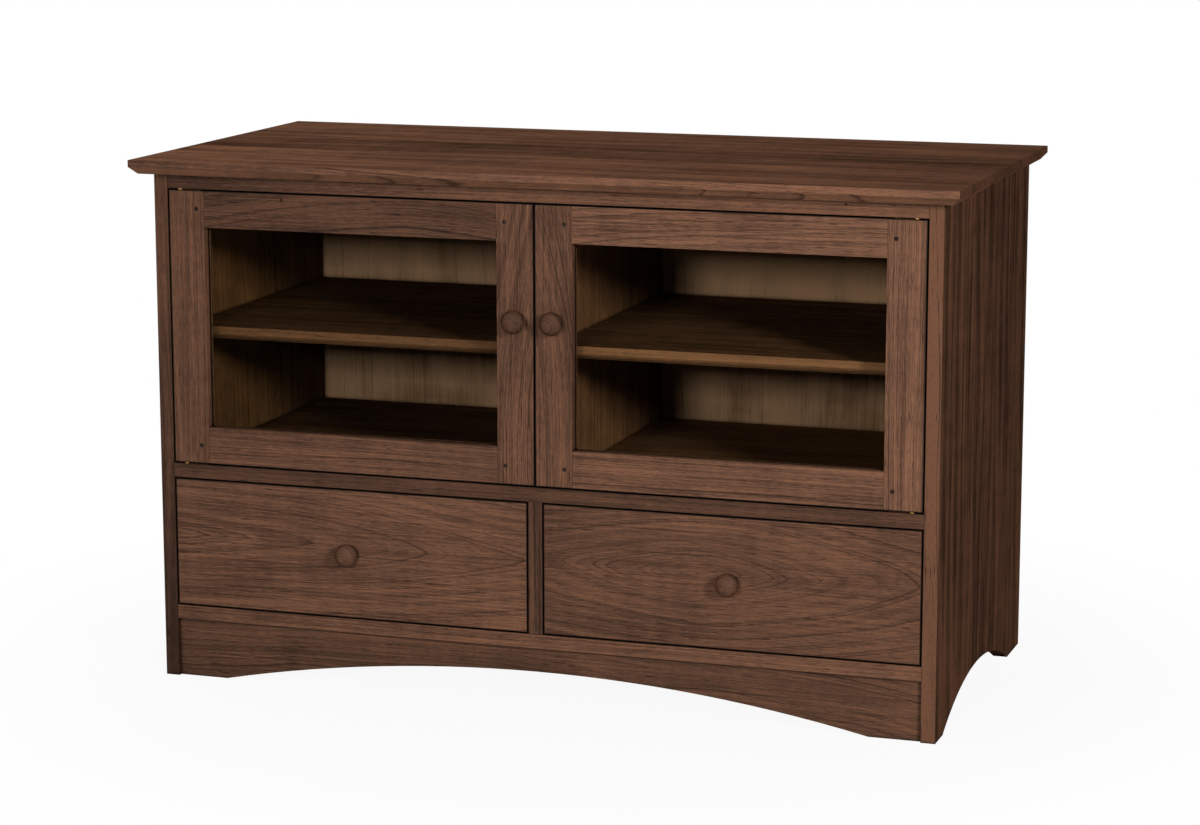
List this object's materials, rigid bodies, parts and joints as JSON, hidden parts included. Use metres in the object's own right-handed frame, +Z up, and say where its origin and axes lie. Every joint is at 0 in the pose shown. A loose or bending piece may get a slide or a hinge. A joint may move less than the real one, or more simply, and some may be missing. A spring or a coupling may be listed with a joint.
{
  "type": "media console",
  "caption": "Low wide wooden media console: overhanging chamfered top, glazed inset doors with round knobs over inset drawers, arched apron and arched side panels.",
  "frame": {"origin": "middle of the footprint of the whole object, at floor level", "axes": "+X along the front to the right of a person facing it, +Y from the front to the back, +Z up"},
  "size_m": [1.2192, 0.607, 0.7688],
  "materials": {
    "oiled_walnut_top": "oiled, satin",
    "oiled_walnut_side": "oiled, satin",
    "oiled_walnut_face": "oiled, satin",
    "oiled_walnut_door": "oiled, satin",
    "oiled_walnut_drawer_front": "oiled, satin",
    "oiled_walnut_apron": "oiled, satin",
    "oiled_walnut_inside": "oiled, satin",
    "turned_walnut": "turned and oiled",
    "stained_plywood_back": "stained veneer, matt",
    "clear_maple_drawer_box": "clear lacquer",
    "birch_plywood_drawer_bottom": "clear lacquer",
    "clear_float_glass": "clear, polished",
    "brushed_brass": "brushed",
    "brown_moulded_catch": "moulded, matt"
  },
  "bodies": {
    "case": {"top": "oiled_walnut_top", "side_left": "oiled_walnut_side", "side_right": "oiled_walnut_side", "top_rail": "oiled_walnut_face", "middle_rail": "oiled_walnut_face", "bottom_rail": "oiled_walnut_face", "top_back_rail": "oiled_walnut_inside", "apron": "oiled_walnut_apron", "cabinet_floor": "oiled_walnut_inside", "case_bottom": "oiled_walnut_inside", "centre_partition": "oiled_walnut_inside", "drawer_partition": "oiled_walnut_face", "back_panel": "stained_plywood_back", "shelf_left": "oiled_walnut_inside", "shelf_right": "oiled_walnut_inside", "door_catch": "brown_moulded_catch", "drawer_stop_left": "clear_maple_drawer_box", "drawer_stop_right": "clear_maple_drawer_box", "shelf_pin_left_outer_front": "brushed_brass", "shelf_pin_left_outer_back": "brushed_brass", "shelf_pin_left_inner_front": "brushed_brass", "shelf_pin_left_inner_back": "brushed_brass", "hinge_case_leaf_left_upper": "brushed_brass", "hinge_case_leaf_left_lower": "brushed_brass", "shelf_pin_right_outer_front": "brushed_brass", "shelf_pin_right_outer_back": "brushed_brass", "shelf_pin_right_inner_front": "brushed_brass", "shelf_pin_right_inner_back": "brushed_brass", "hinge_case_leaf_right_upper": "brushed_brass", "hinge_case_leaf_right_lower": "brushed_brass"},
    "left_door": {"door_left_hinge_stile": "oiled_walnut_door", "door_left_knob_stile": "oiled_walnut_door", "door_left_lower_rail": "oiled_walnut_door", "door_left_upper_rail": "oiled_walnut_door", "glass_left": "clear_float_glass", "glass_stop_left": "oiled_walnut_door", "door_left_knob": "turned_walnut", "hinge_door_leaf_left_upper": "brushed_brass", "hinge_door_leaf_left_lower": "brushed_brass"},
    "left_drawer": {"drawer_left_front": "oiled_walnut_drawer_front", "drawer_left_outer_side": "clear_maple_drawer_box", "drawer_left_inner_side": "clear_maple_drawer_box", "drawer_left_back": "clear_maple_drawer_box", "drawer_left_bottom": "birch_plywood_drawer_bottom", "drawer_left_knob": "turned_walnut"},
    "right_door": {"door_right_hinge_stile": "oiled_walnut_door", "door_right_knob_stile": "oiled_walnut_door", "door_right_lower_rail": "oiled_walnut_door", "door_right_upper_rail": "oiled_walnut_door", "glass_right": "clear_float_glass", "glass_stop_right": "oiled_walnut_door", "door_right_knob": "turned_walnut", "hinge_door_leaf_right_upper": "brushed_brass", "hinge_door_leaf_right_lower": "brushed_brass"},
    "right_drawer": {"drawer_right_front": "oiled_walnut_drawer_front", "drawer_right_outer_side": "clear_maple_drawer_box", "drawer_right_inner_side": "clear_maple_drawer_box", "drawer_right_back": "clear_maple_drawer_box", "drawer_right_bottom": "birch_plywood_drawer_bottom", "drawer_right_knob": "turned_walnut"}
  },
  "joints": [
    {"name": "left_door_hinge", "type": "hinge", "parent": "case", "child": "left_door", "pos_m": [-0.544, -0.267, 0.5245], "axis": [0, 0, -1], "range_deg": [0, 120]},
    {"name": "right_door_hinge", "type": "hinge", "parent": "case", "child": "right_door", "pos_m": [0.544, -0.267, 0.5245], "axis": [0, 0, 1], "range_deg": [0, 120]},
    {"name": "left_drawer_slide", "type": "slide", "parent": "case", "child": "left_drawer", "axis": [0, -1, 0], "range_m": [0, 0.38]},
    {"name": "right_drawer_slide", "type": "slide", "parent": "case", "child": "right_drawer", "axis": [0, -1, 0], "range_m": [0, 0.38]}
  ]
}
